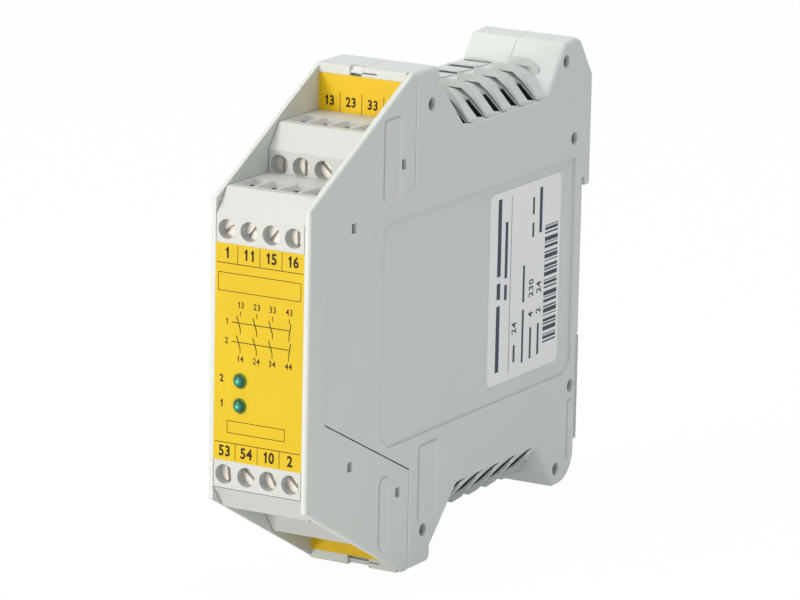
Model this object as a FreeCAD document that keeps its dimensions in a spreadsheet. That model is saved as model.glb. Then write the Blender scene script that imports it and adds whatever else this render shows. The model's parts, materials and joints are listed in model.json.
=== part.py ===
import FreeCAD, Part
import Sketcher
import math
import os
import re

# Safety relay module, 22.5 mm wide, for a 35 mm top-hat rail. Millimetres.
# Frame: the origin is the middle of the rail seat. +Y points at the rail, +Z up, +X to the right as seen
# from the front. Depths are measured back from the front face, heights from the middle of the rail.

os.makedirs("parts", exist_ok=True)
doc = FreeCAD.newDocument("SafetyRelay")

sizes = [
    ("moduleWidth", 22.5, "width along the rail"),
    ("halfHeight", 51.0, "middle of the rail to the top of the front shoulder"),
    ("seatDepth", 110.9, "front face to the rail seat"),
    ("hookDepth", 3.9, "rail seat to the back of the hook"),
    ("shellWall", 1.5, "wall of the half shells"),
    ("cheekWall", 1.25, "wall of the front frame's cheeks"),
    ("edgeRound", 1.0, "rounding of the long flank edges"),
    ("seamOffset", 0.2, "joint of the half shells, left of the middle"),
    ("seatRelief", 0.1, "rail seat stands this far above its surroundings"),
    ("frontDrop", 20.9, "shoulder's top to the upper end of the flat front"),
    ("slantRelief", 1.1, "upright seam to the end of the cheeks' slanted edge"),
    ("noseDepth", 6.6, "front face to the nose of the shells"),
    ("noseUpper", 12.55, "upper end of the nose"),
    ("noseLower", 13.35, "lower end of the nose"),
    ("kneeUpperDrop", 22.65, "shoulder's top to the upper seam corner"),
    ("kneeLowerDrop", 21.35, "shoulder's lower end to the lower seam corner"),
    ("seamDepth", 40.0, "front face to the upright seam"),
    ("seamGap", 0.3, "open groove along the lower slanting seam"),
    ("ridgeRun", 9.6, "upright seam to the back of the front shoulder"),
    ("valleyDrop", 14.35, "shoulder's top to the flank edge beside the vents"),
    ("valleyRun", 11.2, "run and rise of the 45 degree wall before the vents"),
    ("rearRun", 17.0, "foot of the rear block to the rail seat"),
    ("roofRise", 5.6, "vent roof above the flank edge"),
    ("crestFrontRun", 8.7, "front edge of the rear block's top to the rail seat"),
    ("crestRearRun", 3.9, "rear edge of the rear block's top to the rail seat"),
    ("crestDrop", 3.45, "shoulder's top to the rear block's top"),
    ("hookDrop", 11.7, "shoulder's top to where the hook's back turns upright"),
    ("railHeight", 35.0, "width of the top-hat rail"),
    ("railGroove", 1.1, "groove for the rail flange"),
    ("lipOverlap", 1.65, "rail flange covered by the hook lip"),
    ("heelRound", 6.5, "rounding of the lower rear corner"),
    ("ridgeRound", 1.5, "rounding of the shoulder's rear corners"),
    ("rowSetback", 0.9, "foot of the wall before the vents to the first row"),
    ("rowOverrun", 3.55, "foot of the rear block to the last, shorter row"),
    ("lastSlat", 1.8, "length of the last, shorter louvre"),
    ("roofFlat", 4.0, "flat part of the vent roof, right of the middle"),
    ("roofBend", 6.9, "bend between the vent roof's shoulder and its slope"),
    ("slatRise", 2.0, "lip of a louvre above the roof"),
    ("slatThickness", 0.8, "rear end of a louvre, below the roof"),
    ("lipGap", 0.35, "slit under a louvre's lip"),
    ("slotLength", 3.0, "open slot ahead of each louvre, on the shoulder"),
    ("panelSink", 0.4, "recess of the flank around the sticker"),
    ("stickerThickness", 0.15, "rating sticker"),
    ("stickerFront", 38.8, "front edge of the sticker to the rail seat"),
    ("stickerRear", 8.7, "rear edge of the sticker to the rail seat"),
    ("stickerRound", 1.5, "corners of the sticker"),
    ("polePitch", 5.0, "spacing of the terminals"),
    ("stepHeight", 9.45, "front row to rear row, upwards"),
    ("footDrop", 8.55, "flat front's upper end to the block's lower edge"),
    ("lowerShift", 0.25, "lower blocks sit this much further out"),
    ("screwHole", 3.9, "bore over a terminal screw"),
    ("screwSink", 2.0, "screw head below the block's face"),
    ("headLength", 1.4, "length of the screw head"),
    ("slotWidth", 0.7, "slot across the screw head"),
    ("threadSize", 3.0, "terminal screw thread"),
    ("screwReach", 4.65, "shank below the screw head"),
    ("cageLength", 8.0, "wire clamp along the screw"),
    ("cageWidth", 4.0, "wire clamp across the row"),
    ("cageHeight", 5.2, "wire clamp along the wire"),
    ("cageWall", 0.5, "cheeks of the wire clamp"),
    ("cageFront", 1.4, "threaded wall of the wire clamp"),
    ("cageFoot", 0.9, "wall of the wire clamp that presses the wire"),
    ("clampTravel", 2.0, "travel of the wire clamp"),
    ("barThickness", 1.0, "contact bar"),
    ("bladeWidth", 1.2, "contact blade, across the row"),
    ("bladeThickness", 0.75, "contact blade, upwards"),
    ("labelThickness", 0.3, "label plates"),
    ("lensSize", 3.0, "indicator lens"),
    ("boardThickness", 1.6, "circuit boards"),
    ("pinSize", 2.5, "shell pins"),
    ("pinSink", 2.1, "shell pins below the right flank"),
    ("pinWall", 1.1, "wall around a shell pin"),
    ("latchTravel", 3.0, "travel of the rail latch"),
    ("latchWidth", 19.2, "width of the rail latch"),
    ("slideGap", 0.1, "clearance of the rail latch in its channel"),
    ("channelDepth", 5.9, "latch channel, from its front wall to the rail seat"),
    ("floorWall", 4.8, "floor of the latch channel"),
    ("bladeDrop", 0.7, "block's lower edge to the underside of its contact blades"),
    ("screwRise", 2.8, "block's lower edge to its screws"),
    ("blockHeight", 10.5, "height of a block"),
    ("funnelDepth", 1.1, "depth of a wire funnel"),
    ("funnelFront", 5.6, "block face to the front of the wire funnels"),
    ("pocketFront", 4.4, "block face to the clamp pocket"),
    ("barFront", 8.1, "block face to the contact bar"),
    ("wireDepth", 10.6, "block face to the wire entry"),
    ("wireHole", 2.6, "wire entry"),
    ("lugDepth", 16.5, "block face to its lugs"),
    ("lugSize", 1.8, "lugs of the terminal blocks"),
    ("lugSink", 0.8, "lugs below the flanks"),
    ("wallRelief", 1.8, "frame's back walls ahead of the upright seam"),
    ("barHeight", 1.9, "rim above the label strips"),
    ("boardRun", 2.5, "upright seam to the terminal board"),
    ("boardAcross", -6.6, "face of the main board"),
    ("indicatorBoardHalf", 8.0, "half the width of the indicator board"),
    ("relayAcross", 15.7, "sealed relay, away from the main board"),
    ("relayHeight", 12.6, "sealed relay, upwards"),
    ("relayRun", 7.5, "terminal board to the sealed relays"),
    ("relayRear", 32.9, "back of the sealed relays to the rail seat"),
    ("firstRelay", 5.0, "underside of the first relay"),
    ("secondRelay", -14.0, "underside of the second relay"),
    ("capacitorSize", 8.0, "capacitor"),
    ("capacitorLength", 12.0, "capacitor, away from the main board"),
    ("capacitorRun", 20.9, "middle of the capacitor and of the fuse to the rail seat"),
    ("capacitorRise", 10.0, "middle of the capacitor, upwards"),
    ("fuseSize", 8.0, "resettable fuse"),
    ("fuseThickness", 3.0, "resettable fuse"),
    ("fuseLow", -10.0, "underside of the fuse"),
    ("springWire", 0.5, "wire of the latch spring"),
    ("springRadius", 1.5, "middle of the spring's wire"),
    ("lensAcross", -4.1, "indicators, left of the middle"),
    ("upperLens", -5.4, "upper indicator"),
    ("lowerLens", -10.4, "lower indicator"),
    ("closeGap", 0.05, "clearance of screws, clamps and lenses in their holes"),
    ("looseGap", 0.1, "clearance of pins, shanks and lugs in their holes"),
    ("bladeGap", 0.2, "clearance around a contact blade"),
    ("overcut", 1.0, "how far a cutting shape runs past a surface"),
]

sheet = doc.addObject("Spreadsheet::Sheet", "Dims")
for line, (alias, value, note) in enumerate(sizes, start=1):
    sheet.set(f"A{line}", note)
    sheet.set(f"B{line}", str(value))
    sheet.setAlias(f"B{line}", alias)
doc.recompute()
aliases = {alias for alias, value, note in sizes}
ventRows = 5
poles = range(4)

# What follows from the sizes
worked = {
    "frontHalf": "halfHeight - frontDrop",
    "slantRun": "seamDepth - slantRelief",
    "kneeUpper": "halfHeight - kneeUpperDrop",
    "kneeLower": "halfHeight - kneeLowerDrop",
    "ridgeDepth": "seamDepth + ridgeRun",
    "valleyHeight": "halfHeight - valleyDrop",
    "valleyRear": "seatDepth - rearRun",
    "crestFront": "seatDepth - crestFrontRun",
    "crestRear": "seatDepth - crestRearRun",
    "crestHeight": "halfHeight - crestDrop",
    "hookCorner": "halfHeight - hookDrop",
    "rowStart": "ridgeDepth + valleyRun + rowSetback",
    "rowPitch": f"(valleyRear + rowOverrun - rowStart) / {ventRows}",
    "wallDepth": "seamDepth - wallRelief",
    "stepDepth": "wallDepth / 2",
    "blockFoot": "frontHalf - footDrop",
    "bladeHeight": "blockFoot - bladeDrop",
    "screwHeight": "blockFoot + screwRise",
    "blockTop": "blockFoot + blockHeight",
    "stripTop": "halfHeight - barHeight",
    "boardDepth": "seamDepth + boardRun",
    "latchFloor": "crestHeight - floorWall",
    "flank": "moduleWidth / 2",
    "innerFlank": "flank - shellWall",
    "inside": "flank - cheekWall",
    "roofTop": "valleyHeight + roofRise",
    "shoulderTop": "valleyHeight + 0.72 * roofRise",
}

planes = {
    "side": FreeCAD.Rotation(FreeCAD.Vector(1, 1, 1), 120),
    "front": FreeCAD.Rotation(FreeCAD.Vector(1, 0, 0), 90),
    "top": FreeCAD.Rotation(),
}
parts = []


def reference(word):
    if word in worked:
        return f"({linked(worked[word])})"
    return f"Dims.{word}" if word in aliases else word


def linked(text):
    """A formula with its names written as references to the sheet."""
    return re.sub(r"[A-Za-z]\w*", lambda word: reference(word[0]), str(text))


def number(text):
    return float(sheet.evalExpression(linked(text)))


def place(thing, x="0", y="0", z="0"):
    for axis, text in zip("xyz", (x, y, z)):
        thing.setExpression(f"Placement.Base.{axis}", linked(text))
    return thing


def outline(name, plane, points, offset="0"):
    """Closed sketch of straight lines. Side: (depth, height). Front: (across, height)."""
    sketch = doc.addObject("Sketcher::SketchObject", name)
    sketch.Placement = FreeCAD.Placement(FreeCAD.Vector(), planes[plane])
    axis = {"side": "x", "front": "y", "top": "z"}[plane]
    place(sketch, **{axis: offset})
    if plane == "side":
        points = [(f"{depth} - seatDepth", height) for depth, height in points]
    return drawLines(sketch, points)


def drawLines(sketch, points):
    """Closed run of lines in a sketch, each corner tied to its two formulas."""
    rough = [FreeCAD.Vector(number(across), number(up), 0) for across, up in points]
    count = len(points)
    for start in range(count):
        sketch.addGeometry(Part.LineSegment(rough[start], rough[(start + 1) % count]), False)
    for start, (across, up) in enumerate(points):
        after = (start + 1) % count
        sketch.addConstraint(Sketcher.Constraint("Coincident", start, 2, after, 1))
        for kind, text, amount in (("DistanceX", across, rough[start].x), ("DistanceY", up, rough[start].y)):
            index = sketch.addConstraint(Sketcher.Constraint(kind, start, 1, amount))
            sketch.setExpression(f"Constraints[{index}]", linked(text))
    return sketch


def extrusion(name, sketch, length, direction=(1, 0, 0)):
    solid = doc.addObject("Part::Extrusion", name)
    solid.Base = sketch
    solid.DirMode = "Custom"
    solid.Dir = FreeCAD.Vector(*direction)
    solid.Solid = True
    solid.setExpression("LengthFwd", linked(length))
    return solid


def box(name, low, high):
    solid = doc.addObject("Part::Box", name)
    for key, start, end in zip(("Length", "Width", "Height"), low, high):
        solid.setExpression(key, linked(f"({end}) - ({start})"))
    return place(solid, *low)


def cylinder(name, radius, length, x, y, z, axis="y"):
    solid = doc.addObject("Part::Cylinder", name)
    turned = {
        "x": (FreeCAD.Vector(0, 1, 0), 90),
        "y": (FreeCAD.Vector(1, 0, 0), -90),
        "z": (FreeCAD.Vector(0, 0, 1), 0),
    }
    solid.Placement = FreeCAD.Placement(FreeCAD.Vector(), FreeCAD.Rotation(*turned[axis]))
    solid.setExpression("Radius", linked(radius))
    solid.setExpression("Height", linked(length))
    return place(solid, x, y, z)


def joined(name, things):
    solid = doc.addObject("Part::MultiFuse", name)
    solid.Shapes = things
    return solid


def cutAway(name, base, tools):
    tool = tools[0] if len(tools) == 1 else joined(name + "Tools", tools)
    solid = doc.addObject("Part::Cut", name)
    solid.Base = base
    solid.Tool = tool
    return solid


def mirrored(name, source, height="0"):
    """Copy reflected in the level plane at the given height."""
    copy = doc.addObject("Part::Mirroring", name)
    copy.Source = source
    copy.Normal = (0, 0, 1)
    copy.setExpression("Base.z", linked(height))
    return copy


def keep(thing, label):
    thing.Label = label
    parts.append(thing)
    return thing


def camel(label):
    return label.title().replace("_", "")


def poleAt(pole):
    """Place of a terminal along its row."""
    return f"({pole} - 1.5) * polePitch"


def below(points):
    """The run of points reflected to the lower half, in the reverse order."""
    return [(depth, f"-({height})") for depth, height in points[::-1]]


# Outlines seen from the side

seam = [
    ("seamDepth", "kneeUpper"),
    ("noseDepth", "noseUpper"),
    ("noseDepth", "-noseLower"),
    ("seamDepth", "-kneeLower"),
]
shellFront = [("seamDepth", "-halfHeight")] + seam[::-1] + [("seamDepth", "halfHeight")]
upperValley = [
    ("ridgeDepth", "halfHeight"),
    ("ridgeDepth", "valleyHeight + valleyRun"),
    ("ridgeDepth + valleyRun", "valleyHeight"),
    ("valleyRear", "valleyHeight"),
    ("crestFront", "crestHeight"),
]
lowerValley = below(upperValley)
hookBack = [
    ("crestRear", "crestHeight + 0.5"),
    ("crestRear + 2.3", "crestHeight - 0.4"),
    ("seatDepth + hookDepth", "hookCorner"),
]
hook = [
    ("seatDepth + hookDepth", "railHeight / 2 - lipOverlap"),
    ("seatDepth + railGroove", "railHeight / 2 - lipOverlap"),
    ("seatDepth + railGroove", "railHeight / 2 + seatRelief"),
    ("seatDepth - seatRelief", "railHeight / 2 + seatRelief"),
    ("seatDepth - seatRelief", "railHeight / 2 - lipOverlap"),
    ("seatDepth", "railHeight / 2 - lipOverlap"),
    ("seatDepth", "seatRelief - railHeight / 2 + lipOverlap"),
    ("seatDepth - seatRelief", "seatRelief - railHeight / 2 + lipOverlap"),
]
heel = ("seatDepth - seatRelief", "-crestHeight")
heelAbove = ("seatDepth - seatRelief", "heelRound - crestHeight")
heelAhead = ("seatDepth - seatRelief - heelRound", "-crestHeight")
shellOutline = shellFront + upperValley + hookBack + hook + [heel] + lowerValley
cavityOutline = (
    shellFront + upperValley
    + [("crestRear", "crestHeight"), ("seatDepth", "crestHeight - 5.5"),
       ("seatDepth", "heelRound * 0.58 - crestHeight"), ("seatDepth - heelRound * 0.58", "-crestHeight")]
    + lowerValley
)
frameOutline = [
    ("0", "frontHalf"),
    ("slantRun", "halfHeight"),
    ("seamDepth", "halfHeight"),
    ("seamDepth", "kneeUpper"),
    ("noseDepth", "noseUpper"),
    ("noseDepth", "-noseLower - seamGap"),
    ("seamDepth", "-kneeLower - seamGap"),
    ("seamDepth", "-halfHeight"),
    ("slantRun", "-halfHeight"),
    ("0", "-frontHalf"),
]


touching = 0.01


def along(points):
    """Depth and height of the points of an outline as numbers in the part's frame."""
    return [(number(f"{depth} - seatDepth"), number(height)) for depth, height in points]


def flankEdges(solid, side, corners):
    """Numbers of the edges of one flank that join two neighbouring corners of the list."""
    found = []
    for index, edge in enumerate(solid.Shape.Edges, start=1):
        if any(abs(vertex.X - side) > touching for vertex in edge.Vertexes):
            continue
        ends = []
        for vertex in edge.Vertexes:
            near = [
                place for place, (y, z) in enumerate(corners)
                if abs(vertex.Y - y) + abs(vertex.Z - z) < touching
            ]
            ends += near[:1]
        if len(ends) == 2 and abs(ends[0] - ends[1]) == 1:
            found.append(index)
    return found


def crossEdges(solid, corners):
    """Numbers of the edges that run across the part, one through each corner."""
    found = []
    for index, edge in enumerate(solid.Shape.Edges, start=1):
        start, end = edge.Vertexes[0], edge.Vertexes[-1]
        spans = abs(start.X - end.X) > touching
        if spans and any(abs(start.Y - y) + abs(start.Z - z) < touching for y, z in corners):
            found.append(index)
    return found


def rounded(name, base, edges, radius):
    doc.recompute()
    solid = doc.addObject("Part::Fillet", name)
    solid.Base = base
    amount = number(radius)
    solid.Edges = [(index, amount, amount) for index in edges]
    return solid


# Half shells

shoulder = [("roofFlat", "roofTop"), ("roofBend", "shoulderTop"), ("flank", "valleyHeight")]
shoulderHollow = [
    ("roofFlat - shellWall / 4", "roofTop - shellWall"),
    ("roofBend - shellWall / 2", "shoulderTop - 1.15 * shellWall"),
    ("innerFlank", "valleyHeight - shellWall / 3"),
]
plain = [("-flank", "roofTop"), ("-flank", "valleyHeight")]
plainHollow = [("-innerFlank", "roofTop - shellWall"), ("-innerFlank", "valleyHeight - shellWall / 3")]

shellPins = {
    "UpperFront": ("seamDepth + 6.2", "halfHeight - 7.3"),
    "UpperRear": ("seatDepth - 8.3", "halfHeight - 7.4"),
    "HookSide": ("seatDepth - 3.9", "railHeight / 2 + 9.15"),
    "LowerRear": ("seatDepth - 8.3", "7.2 - halfHeight"),
    "LowerFront": ("seamDepth + 6.2", "7.2 - halfHeight"),
}
latchPin = {"Latch": ("seatDepth - 2.75", "-railHeight / 2 - 9.25")}


def roof(name, points, start, end, foot):
    """Prism along the depth. Its section runs from the shells' joint over the given points to the foot."""
    top = points[0][1]
    section = [("-seamOffset", foot), ("-seamOffset", top)] + points + [(points[-1][0], foot)]
    sketch = outline(name + "Section", "front", section, f"{start} - seatDepth")
    return extrusion(name, sketch, f"({end}) - ({start})", (0, 1, 0))


def slat(name, row, lip, heel):
    """One louvre: a ruled body from its raised front lip down to the next row's slit.
    The last one ends in the slope of the rear block."""
    front = f"rowStart + {row} * rowPitch - seatDepth"
    length = "rowPitch - 0.05" if row < ventRows else "lastSlat"
    rear = f"{front} + {length}"
    frontSection = [(across, f"{up} + slatRise * {share}") for across, up, share in lip]
    frontSection += [(across, f"{up} + lipGap") for across, up, share in lip[::-1]]
    rearSection = [(across, f"{up} + 0.05") for across, up in heel]
    rearSection += [(across, f"{up} - slatThickness") for across, up in heel[::-1]]
    solid = doc.addObject("Part::Loft", name)
    solid.Sections = [
        outline(name + "Lip", "front", frontSection, front),
        outline(name + "Heel", "front", rearSection, rear),
    ]
    solid.Solid = True
    solid.Ruled = True
    return solid


def pegs(name, spots, radius, start, length):
    return [
        cylinder(f"{name}{key}", radius, length, start, f"{depth} - seatDepth", height, "x")
        for key, (depth, height) in spots.items()
    ]


def bothEnds(name, things):
    """The vents on top and the same vents reflected underneath."""
    group = joined(name + "Upper", things) if len(things) > 1 else things[0]
    return [group, mirrored(name + "Lower", group)]


def shellBody(name, side, edge, hollow):
    """Hollow half shell with its vent roofs, before louvres and pins."""
    reach = "flank + seamOffset" if side > 0 else "flank - seamOffset"
    sketch = outline(name + "Outline", "side", shellOutline, "-seamOffset")
    blank = extrusion(name + "Square", sketch, reach, (side, 0, 0))
    doc.recompute()
    blank = rounded(name + "Heeled", blank, crossEdges(blank, along([heel])), "heelRound")
    doc.recompute()
    ridges = crossEdges(blank, along([upperValley[0], lowerValley[-1]]))
    blank = rounded(name + "Blank", blank, ridges, "ridgeRound")
    ridge = [("ridgeDepth - ridgeRound", "halfHeight"), ("ridgeDepth", "halfHeight - ridgeRound")]
    runs = [
        [("seamDepth", "halfHeight")] + ridge + upperValley[1:3],
        upperValley[3:] + hookBack + hook[:1],
        [heelAbove, heelAhead] + lowerValley[:2],
        lowerValley[2:-1] + below(ridge) + [("seamDepth", "-halfHeight")],
    ]
    doc.recompute()
    edges = [index for run in runs for index in flankEdges(blank, side * number("flank"), along(run))]
    blank = rounded(name + "Rounded", blank, edges, "edgeRound")
    vent = roof(name + "Vent", edge, "ridgeDepth + 3", "valleyRear + 6", "valleyHeight - 3")
    roofs = bothEnds(name + "Roof", [vent])
    inset = doc.addObject("Part::Offset2D", name + "Inset")
    inset.Source = outline(name + "Inner", "side", cavityOutline, "-seamOffset")
    inset.setExpression("Value", linked("-shellWall"))
    inset.Join = "Intersection"
    cavity = extrusion(name + "Cavity", inset, f"{reach} - shellWall", (side, 0, 0))
    hollows = bothEnds(name + "Loft", [
        roof(name + "Hollow", hollow, "ridgeDepth + valleyRun - 3.8", "valleyRear + 2", "valleyHeight - 4"),
    ])
    latchHousing = box(name + "LatchHousing", ("-flank", "-channelDepth - shellWall", "-halfHeight"),
                       ("flank", "0", "-railHeight / 2 + lipOverlap + 2"))
    cavity = cutAway(name + "Room", joined(name + "Hollows", [cavity] + hollows), [latchHousing])
    return cutAway(name + "Hull", joined(name + "Shape", [blank] + roofs), [cavity])


def latchChannel(name):
    """Channel for the rail latch, open at the back."""
    return box(name, ("-latchWidth / 2 - slideGap", "-channelDepth", "-latchFloor"),
               ("latchWidth / 2 + slideGap", "hookDepth", "-railHeight / 2 + seatRelief * 7"))


def bladeSlot(name, pole, start, end, low, high):
    """Slot for one contact blade, between two depths and two heights."""
    across, room = poleAt(pole), "(bladeWidth / 2 + bladeGap)"
    return box(name, (f"{across} - {room}", f"{start} - seatDepth", low),
               (f"{across} + {room}", f"{end} - seatDepth", high))


def bladeSlots(name):
    """Slots in the walls behind the blocks, one for each contact blade."""
    rows = (
        ("Front", "bladeHeight", "noseDepth + 10", "seamDepth - 6"),
        ("Rear", "bladeHeight + stepHeight", "seamDepth - overcut", "seamDepth + shellWall + overcut"),
    )
    slots = []
    for pole in poles:
        for row, foot, start, end in rows:
            slots.append(bladeSlot(f"{name}{row}{pole}", pole, start, end,
                                   f"{foot} - bladeGap", f"{foot} + bladeThickness + 0.45"))
    return bothEnds(name, slots)


def rightShell():
    hull = shellBody("Right", 1, shoulder, shoulderHollow)
    lip = [
        ("0.1", "roofTop", 1),
        ("5.2", "roofTop", 1),
        ("7.4", "shoulderTop", 1),
        ("10.9", "valleyHeight + 0.4", 0.5),
    ]
    heel = [
        ("0.1", "roofTop"),
        ("roofFlat", "roofTop"),
        ("roofBend", "shoulderTop"),
        ("10.9", "valleyHeight + 0.3"),
    ]
    louvres = [slat(f"RightSlat{row}", row, lip, heel) for row in range(ventRows)]
    louvres.append(slat("RightSlatLast", ventRows, lip[:3], heel[:3]))
    slats = bothEnds("RightSlats", louvres)
    openings = []
    for row in range(ventRows):
        rear = f"rowStart + {row} * rowPitch"
        openings.append(box(f"RightSlot{row}",
                            ("roofBend", f"{rear} - slotLength - seatDepth", "valleyHeight - 2"),
                            ("flank - 0.7", f"{rear} - seatDepth", "roofTop + slatRise")))
    slots = bothEnds("RightSlots", openings)
    sleeves = pegs("Sleeve", shellPins, "pinSize / 2 + pinWall", "-seamOffset", "flank - 0.5")
    bores = pegs("Bore", shellPins | latchPin, "pinSize / 2 + looseGap", "-seamOffset", "flank + overcut")
    recess = [
        ("seamDepth - 12", "8.95 - kneeLower"),
        ("seamDepth - 12", "kneeUpper - 7.35"),
        ("seamDepth - 8.5", "kneeUpper - 5.85"),
        ("seatDepth - 3.1", "kneeUpper - 5.85"),
        ("seatDepth - 3.1", "8.45 - kneeLower"),
        ("seatDepth - 5.9", "6.05 - kneeLower"),
        ("seamDepth - 8.5", "6.05 - kneeLower"),
    ]
    panel = extrusion("RightPanel", outline("RightPanelOutline", "side", recess, "flank - panelSink"),
                      "panelSink + overcut")
    body = cutAway("RightVented", joined("RightRibbed", [hull] + slats + sleeves), slots)
    tools = [latchChannel("RightChannel"), panel] + bores + bladeSlots("RightBlade")
    return cutAway("RightShell", body, tools)


def leftShell():
    hull = shellBody("Left", -1, plain, plainHollow)
    edges = (("-10.4", 0.2), ("-9.6", 0.4), ("-4.9", 0.4), ("-3.9", 0.2))
    lip = [(across, "roofTop", share) for across, share in edges]
    heel = [(across, "roofTop") for across, share in edges]
    slats = bothEnds("LeftSlats", [slat(f"LeftSlat{row}", row, lip, heel) for row in range(ventRows + 1)])
    posts = pegs("Post", shellPins, "pinSize / 2 + pinWall", "-flank + 0.5", "flank - 0.5 - seamOffset")
    locks = pegs("Pin", shellPins, "pinSize / 2", "-flank + 0.5", "moduleWidth - 0.5 - pinSink")
    locks += pegs("Pin", latchPin, "pinSize / 2", "-flank + 0.5", "moduleWidth + 0.5 - pinSink")
    cut = cutAway("LeftOpened", joined("LeftRibbed", [hull] + slats + posts),
                  [latchChannel("LeftChannel")] + bladeSlots("LeftBlade"))
    return joined("LeftShell", [cut] + locks)


keep(rightShell(), "right_housing_shell")
keep(leftShell(), "left_housing_shell")


# Front frame

blockBottom = "bladeHeight - 0.6"


def lugBar(name, reach, depth, height, room):
    """Bar right across the module at a lug's place, grown all round by the given room."""
    return box(name, (f"-({reach})", f"{depth} - lugSize * 0.4 - {room}", f"{height} - lugSize / 2 - {room}"),
               (reach, f"{depth} + lugSize * 0.4 + {room}", f"{height} + lugSize / 2 + {room}"))


def frameWalls():
    """Back walls of the two terminal steps, each with the thicker rim above its label strip."""
    walls = []
    for name, low, high, rimLow, rimHigh in (
        ("Upper", "kneeUpper", "halfHeight", "stripTop", "halfHeight"),
        ("Lower", "-halfHeight", "-kneeLower", "-halfHeight", "-stripTop"),
    ):
        walls.append(box(f"Frame{name}Wall", ("-inside", "wallDepth - seatDepth", low),
                         ("inside", "seamDepth - seatDepth", high)))
        walls.append(box(f"Frame{name}Bar", ("-inside", "wallDepth - labelThickness - seatDepth", rimLow),
                         ("inside", "seamDepth - seatDepth", rimHigh)))
    return walls


def frameHoles():
    """Holes for the lenses, the rear contact blades and the lugs of the blocks."""
    holes = [
        cylinder(f"{name}LensHole", "lensSize / 2 + closeGap", "5",
                 "lensAcross", "-seatDepth - overcut", height)
        for name, height in (("Upper", "upperLens"), ("Lower", "lowerLens"))
    ]
    for end, sign, shift in (("U", 1, "0"), ("L", -1, "lowerShift")):
        middle = f"{sign} * (bladeHeight + stepHeight + barThickness * 0.4 + {shift})"
        for pole in poles:
            holes.append(bladeSlot(f"BladeHole{pole}{end}", pole, "wallDepth - overcut", "seamDepth + 3",
                                   f"{middle} - 0.6", f"{middle} + 0.6"))
        for key, step in (("Front", 0), ("Rear", 1)):
            depth = f"lugDepth + {step} * stepDepth - seatDepth"
            height = f"{sign} * (screwHeight - 0.5 + {step} * stepHeight + {shift})"
            holes.append(lugBar(f"LugHole{key}{end}", "flank + overcut", depth, height, "looseGap"))
    return holes


# name, upper or lower half, left and right ends of the notch, right end of its slit
catches = (
    ("Upper", 1, "-2.9", "-0.2", "3.3"),
    ("Lower", -1, "-1.3", "3.6", "6"),
)


def catchNotch(name, sign, left, right, slit):
    """Notch in a rim above or below a label strip, with a thin slit beside it."""
    edges = ("stripTop", "halfHeight + overcut") if sign > 0 else ("-halfHeight - overcut", "-stripTop")
    front = "wallDepth - labelThickness - overcut - seatDepth"
    middle = f"{sign} * (stripTop + barHeight * 0.4)"
    return [
        box(f"Catch{name}", (left, front, edges[0]), (right, "seamDepth - 0.4 - seatDepth", edges[1])),
        box(f"CatchSlit{name}", (left, front, f"{middle} - 0.12"),
            (slit, "wallDepth + 0.7 - seatDepth", f"{middle} + 0.12")),
    ]


def catchRamp(name, sign, left, right):
    """Wedge that fills the back of a notch."""
    rimEdge = f"{sign} * (halfHeight - 0.1)"
    side = [
        ("wallDepth - labelThickness + 0.1", f"{sign} * (stripTop + barHeight * 0.3)"),
        ("wallDepth + 0.9", rimEdge),
        ("seamDepth - 0.2", rimEdge),
        ("seamDepth - 0.2", f"{sign} * (stripTop + barHeight * 0.6)"),
    ]
    sketch = outline(f"CatchRamp{name}Outline", "side", side, left)
    return extrusion(f"CatchRamp{name}", sketch, f"{right} - ({left})")


def frontFrame():
    blank = extrusion("FrameBlank", outline("FrameOutline", "side", frameOutline, "-flank"), "moduleWidth")
    doc.recompute()
    front = [frameOutline[1], frameOutline[0], frameOutline[-1], frameOutline[-2]]
    rim = along([("seamDepth", "halfHeight")] + front + [("seamDepth", "-halfHeight")])
    edges = flankEdges(blank, number("flank"), rim) + flankEdges(blank, -number("flank"), rim)
    blank = rounded("FrameRounded", blank, edges, "edgeRound * 0.7")
    room = box("FrameRoom", ("-inside", "-seatDepth - overcut", "-halfHeight - overcut"),
               ("inside", "seamDepth - seatDepth + overcut", "halfHeight + overcut"))
    cheeks = cutAway("FrameCheeks", blank, [room])
    face = box("FramePanel", ("-inside", "labelThickness - seatDepth", "-blockFoot - lowerShift"),
               ("inside", "labelThickness + shellWall - seatDepth", "blockFoot"))
    notches = [cut for catch in catches for cut in catchNotch(*catch)]
    ramps = [catchRamp(*catch[:4]) for catch in catches]
    body = cutAway("FramePlain", joined("FrameBody", [cheeks, face] + frameWalls()), frameHoles() + notches)
    return joined("Frame", [body] + ramps)


keep(frontFrame(), "front_frame")


# Terminal blocks, built for the upper front place

def wireFunnel(name, across):
    """Funnel over a wire entry, drawn out towards the front of the block."""
    funnel = doc.addObject("Part::Loft", name)
    sections = []
    bore = "(wireHole / 2)"
    for end, front, back, half, height in (
        ("Top", "funnelFront", f"wireDepth + {bore} + 0.35", f"({bore} + 0.9)", "blockTop"),
        ("Foot", f"wireDepth - {bore}", f"wireDepth + {bore}", bore, "blockTop - funnelDepth"),
    ):
        corners = [
            (f"{across} - {half}", f"{front} - seatDepth"),
            (f"{across} + {half}", f"{front} - seatDepth"),
            (f"{across} + {half} * 0.8", f"{back} - seatDepth"),
            (f"{across} - {half} * 0.8", f"{back} - seatDepth"),
        ]
        sections.append(outline(name + end, "top", corners, height))
    funnel.Sections = sections
    funnel.Solid = True
    funnel.Ruled = True
    return funnel


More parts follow.
